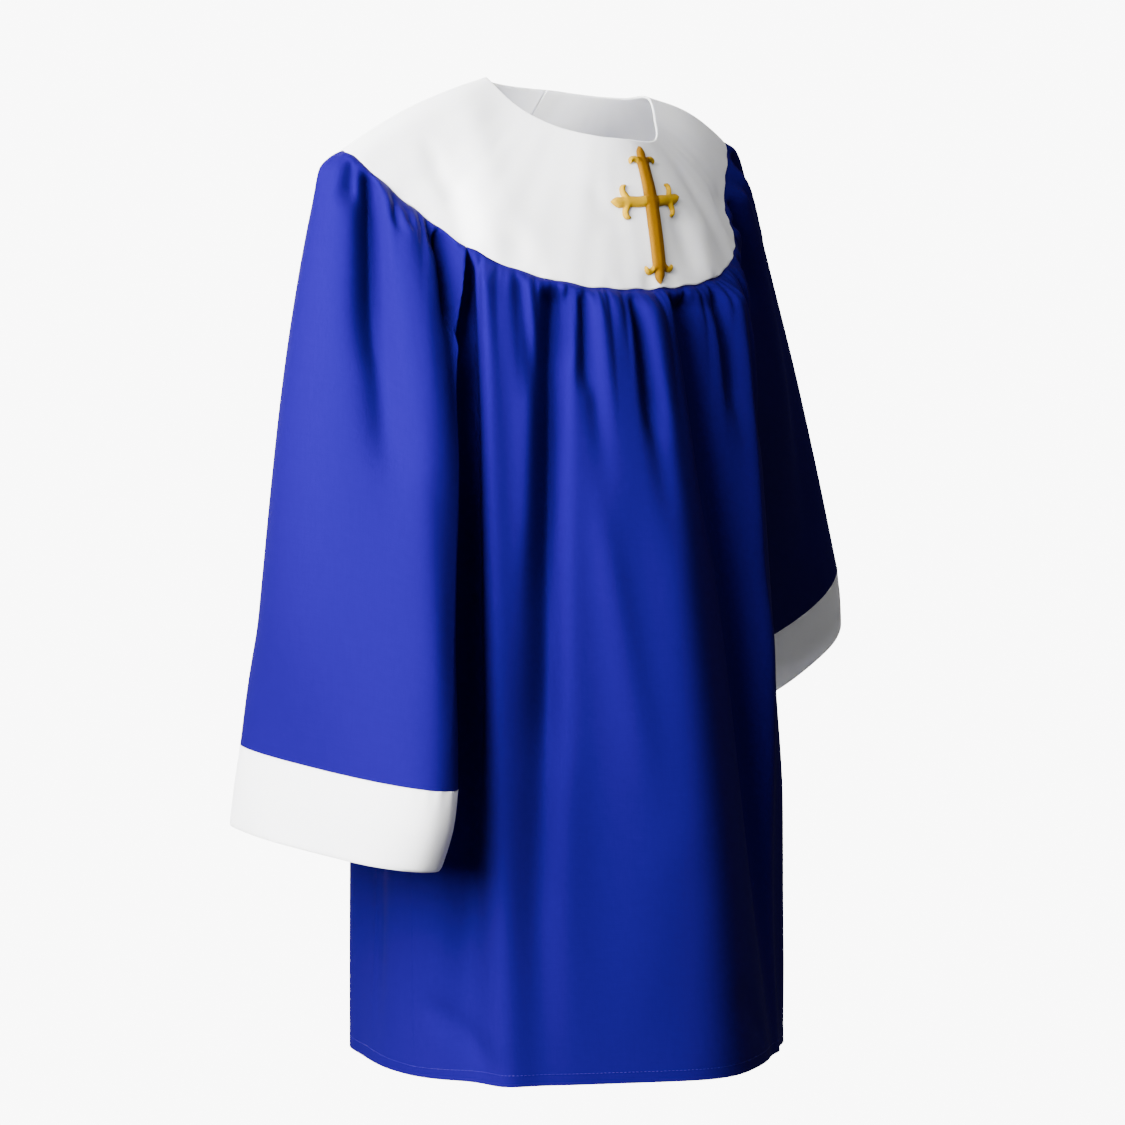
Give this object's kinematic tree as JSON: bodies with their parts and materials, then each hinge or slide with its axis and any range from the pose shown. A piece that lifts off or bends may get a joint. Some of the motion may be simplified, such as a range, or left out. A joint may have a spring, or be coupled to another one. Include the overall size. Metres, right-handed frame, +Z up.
{
  "type": "choir robe",
  "caption": "Child's knee-length choir robe with a round white yoke, embroidered cross, gathered panels and bell sleeves with deep white cuffs, filled out as worn.",
  "frame": {"origin": "in the neck opening, level with the points where the yoke rests on the shoulders", "axes": "+Z up, the front faces -Y, +X is the wearer's left"},
  "size_m": [0.7758, 0.4881, 0.8059],
  "materials": {
    "white_cloth": "plain woven polyester, matt",
    "blue_cloth": "plain woven polyester, matt with a faint sheen",
    "gold_thread": "satin stitch in glossy thread"
  },
  "bodies": {
    "root": {"yoke": "white_cloth", "back_placket": "white_cloth", "body_front": "blue_cloth", "body_back": "blue_cloth", "sleeve_right": "blue_cloth", "sleeve_left": "blue_cloth", "cuff_right": "white_cloth", "cuff_left": "white_cloth", "cross": "gold_thread"}
  },
  "joints": []
}
